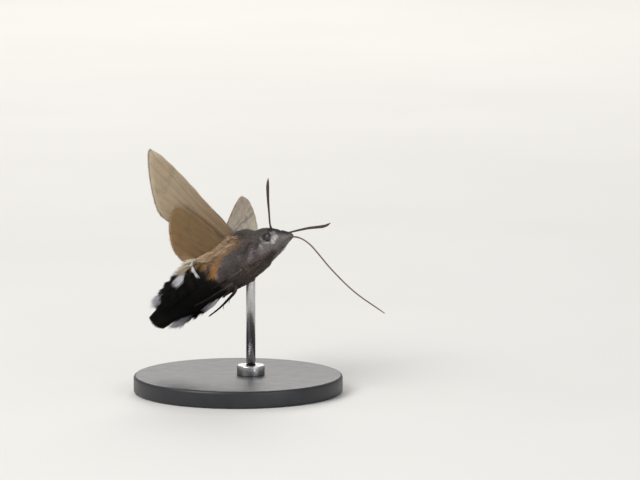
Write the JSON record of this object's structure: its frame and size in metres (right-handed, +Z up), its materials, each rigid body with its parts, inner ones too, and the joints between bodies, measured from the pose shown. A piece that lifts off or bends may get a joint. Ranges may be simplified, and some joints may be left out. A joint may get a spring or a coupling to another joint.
{
  "type": "hummingbird hawk moth on a display stand",
  "caption": "Life-size hovering hummingbird hawk moth with raised wings, clubbed feelers, long tongue, side tufts and tail fan, held over a round flat base by one rod.",
  "frame": {"origin": "the middle of the underside of the stand's base, where it rests", "axes": "+X the way the moth heads, +Z up, +Y to its left; the moth is pitched up about Y and banked right side up"},
  "size_m": [0.0471, 0.0403, 0.041],
  "materials": {
    "thorax_coat": "short dense coat of grey-brown scales and hair, paler under the eye",
    "abdomen_coat": "short scales, brown-black to black, with white and ochre side tufts",
    "tail_coat": "long flat black scales with brownish ends",
    "eye": "smooth dark compound eye",
    "feeler": "dark brown, finely scaled, matt",
    "tongue": "smooth brown chitin, slight gloss",
    "forewing": "scaled membrane, beige-brown, matt",
    "hindwing": "scaled membrane, orange-brown, matt",
    "leg": "finely scaled chitin, olive-brown",
    "stand_base": "satin near-black paint",
    "stand_steel": "satin ground steel rod"
  },
  "bodies": {
    "root": {"head": "thorax_coat", "eye_left": "eye", "eye_right": "eye", "antenna_left": "feeler", "antenna_right": "feeler", "proboscis_base": "tongue", "proboscis_end": "tongue", "thorax": "thorax_coat", "abdomen": "abdomen_coat", "tail_fan": "tail_coat", "forewing_left": "forewing", "forewing_right": "forewing", "hindwing_left": "hindwing", "hindwing_right": "hindwing", "leg_fore_left": "leg", "leg_fore_right": "leg", "leg_mid_left": "leg", "leg_mid_right": "leg", "leg_hind_left": "leg", "leg_hind_right": "leg", "stand_base": "stand_base", "stand_collar": "stand_steel", "stand_rod": "stand_steel"}
  },
  "joints": []
}
